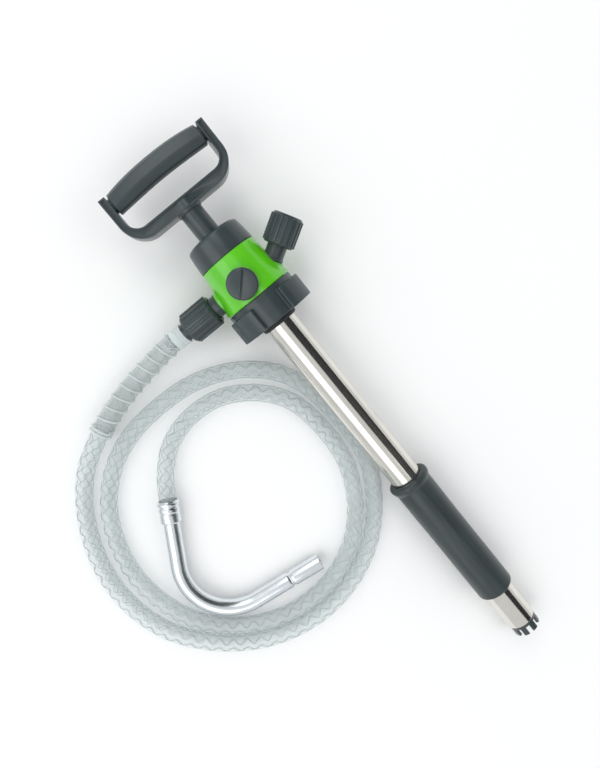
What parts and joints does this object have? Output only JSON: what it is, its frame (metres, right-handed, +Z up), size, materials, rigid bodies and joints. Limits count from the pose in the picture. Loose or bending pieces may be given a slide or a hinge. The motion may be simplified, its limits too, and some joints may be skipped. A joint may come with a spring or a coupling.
{
  "type": "hand transfer pump",
  "caption": "Hand-operated lift pump with a D-handle plunger, ported head, long metal cylinder with a foot valve, and a clear delivery hose ending in a hooked metal spout.",
  "frame": {"origin": "under the middle of the pump without its hose, on the surface that it lies on", "axes": "+X along the pump from the handle to the foot, level with the surface; +Y towards the valve knob, away from the hose; +Z up"},
  "size_m": [0.566, 0.3588, 0.0787],
  "materials": {
    "green_plastic": "glossy moulded plastic",
    "dark_plastic": "satin moulded plastic",
    "black_rubber": "matt rubber",
    "sleeve_rubber": "smooth dark rubber",
    "polished_steel": "polished stainless steel",
    "chrome": "bright plated metal",
    "plain_steel": "machined stainless steel",
    "white_plastic": "natural engineering plastic",
    "clear_hose": "clear flexible hose with a knitted thread"
  },
  "bodies": {
    "pump": {"pump_body": "green_plastic", "top_cap": "dark_plastic", "guide_bush": "white_plastic", "rod_seal": "black_rubber", "clamp_ring": "dark_plastic", "head_gasket": "black_rubber", "tube_flange": "plain_steel", "tube_collar": "black_rubber", "pump_tube": "polished_steel", "grip_sleeve": "sleeve_rubber", "outlet_nipple": "dark_plastic", "outlet_washer": "black_rubber", "hose_tail": "dark_plastic", "hose": "clear_hose", "hose_guard": "clear_hose", "guard_end_ring": "clear_hose", "spout_ferrule": "chrome", "spout_tube": "chrome", "spout_nozzle": "chrome", "valve_housing": "dark_plastic", "plug_seal": "black_rubber", "foot_body": "dark_plastic", "foot_o_ring": "black_rubber", "ball_cage": "dark_plastic", "inlet_screen": "plain_steel"},
    "plunger": {"handle_bow": "dark_plastic", "handle_grip": "dark_plastic", "grip_pin": "plain_steel", "handle_screw": "plain_steel", "plunger_rod": "dark_plastic", "rod_top_plug": "white_plastic", "rod_end_stud": "plain_steel", "piston_body": "white_plastic", "piston_seal": "black_rubber", "piston_nut": "plain_steel"},
    "piston_valve": {"piston_valve_disc": "black_rubber"},
    "foot_valve": {"foot_valve_ball": "plain_steel"},
    "knob": {"valve_knob": "dark_plastic"},
    "spindle": {"valve_spindle": "plain_steel", "valve_o_ring": "black_rubber"},
    "plug": {"slotted_plug": "dark_plastic"},
    "hose_nut": {"outlet_nut": "dark_plastic"}
  },
  "joints": [
    {"name": "plunger_slide", "type": "slide", "parent": "pump", "child": "plunger", "axis": [-0.9986, 0, 0.0531], "range_m": [0, 0.28]},
    {"name": "piston_valve_lift", "type": "slide", "parent": "plunger", "child": "piston_valve", "axis": [-0.9986, 0, 0.0531], "range_m": [0, 0.003]},
    {"name": "foot_valve_lift", "type": "slide", "parent": "pump", "child": "foot_valve", "axis": [-0.9986, 0, 0.0531], "range_m": [0, 0.0035]},
    {"name": "knob_turn", "type": "hinge", "parent": "pump", "child": "knob", "pos_m": [-0.15597, 0.05084, 0.04583], "axis": [-0.4913, 0.8529, 0.1767], "range_deg": [0, 270]},
    {"name": "spindle_lift", "type": "slide", "parent": "pump", "child": "spindle", "axis": [-0.4913, 0.8529, 0.1767], "range_m": [0, 0.003]},
    {"name": "plug_turn", "type": "hinge", "parent": "pump", "child": "plug", "pos_m": [-0.14737, 0.00545, 0.07092], "axis": [0.0523, -0.1736, 0.9834], "range_deg": [0, 360]},
    {"name": "hose_nut_turn", "type": "hinge", "parent": "pump", "child": "hose_nut", "pos_m": [-0.14955, -0.03664, 0.03004], "axis": [-0.0092, -0.9848, -0.1734], "continuous": true}
  ],
  "couplings": [
    {"joint": "spindle_lift", "follows": "knob_turn", "m_per_rad": 0.00063662}
  ]
}
